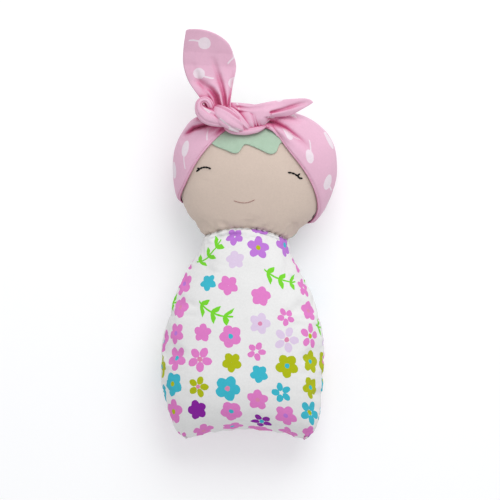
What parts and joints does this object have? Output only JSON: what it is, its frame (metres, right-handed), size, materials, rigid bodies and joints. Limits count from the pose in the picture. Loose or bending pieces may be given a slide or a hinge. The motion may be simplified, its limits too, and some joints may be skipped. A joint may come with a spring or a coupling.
{
  "type": "rag doll",
  "caption": "Stuffed limbless cloth doll with a printed body, sewn face, felt fringe and a knotted headscarf whose two ends flop.",
  "frame": {"origin": "middle of the flat patch of the body's back that the doll lies on", "axes": "the doll lies on its back: +Y along the doll from base to crown, +Z out of its face, +X to the right of someone looking at the face"},
  "size_m": [0.101, 0.2521, 0.0603],
  "materials": {
    "floral_cotton": "matte",
    "face_cotton": "matte",
    "mint_felt": "matte",
    "scarf_cotton": "matte",
    "scarf_lining": "matte",
    "filling": "matte",
    "white_thread": "matte",
    "black_thread": "matte",
    "rose_thread": "matte"
  },
  "bodies": {
    "torso": {"body_front_panel": "floral_cotton", "body_back_panel": "floral_cotton", "body_stuffing": "filling", "body_side_seam": "white_thread"},
    "neck": {"neck_lower_cover": "floral_cotton", "neck_stuffing": "filling", "neck_seam_thread": "white_thread"},
    "head": {"neck_upper_cover": "face_cotton", "head_front_panel": "face_cotton", "head_back_panel": "mint_felt", "head_stuffing": "filling", "head_side_seam": "white_thread", "hair_fringe": "mint_felt", "left_eye": "black_thread", "right_eye": "black_thread", "mouth": "rose_thread", "scarf_band": "scarf_cotton", "scarf_lining": "scarf_lining", "scarf_knot_wrap": "scarf_cotton", "scarf_knot_loop": "scarf_cotton", "scarf_knot_fold": "scarf_cotton", "scarf_knot_under": "scarf_cotton"},
    "scarf_ear": {"scarf_ear_front": "scarf_cotton", "scarf_ear_back": "scarf_lining"},
    "scarf_tail": {"scarf_tail_front": "scarf_cotton", "scarf_tail_back": "scarf_lining"}
  },
  "joints": [
    {"name": "neck_nod", "type": "hinge", "parent": "torso", "child": "neck", "pos_m": [0, 0.0745, 0.0255], "axis": [1, 0, 0], "range_deg": [-15, 20], "stiffness_Nm_per_rad": 0.3, "deforming": ["neck_lower_cover", "neck_stuffing"]},
    {"name": "neck_tilt", "type": "hinge", "parent": "neck", "child": "head", "pos_m": [0, 0.0745, 0.0255], "axis": [0, 0, 1], "range_deg": [-15, 15], "stiffness_Nm_per_rad": 0.3, "deforming": ["neck_upper_cover"]},
    {"name": "scarf_ear_flop", "type": "hinge", "parent": "head", "child": "scarf_ear", "pos_m": [-0.0255, 0.1569, 0.04693], "axis": [1, 0, 0], "range_deg": [-60, 60]},
    {"name": "scarf_tail_lift", "type": "hinge", "parent": "head", "child": "scarf_tail", "pos_m": [0.011, 0.1518, 0.04643], "axis": [0, -1, 0], "range_deg": [0, 100]}
  ]
}
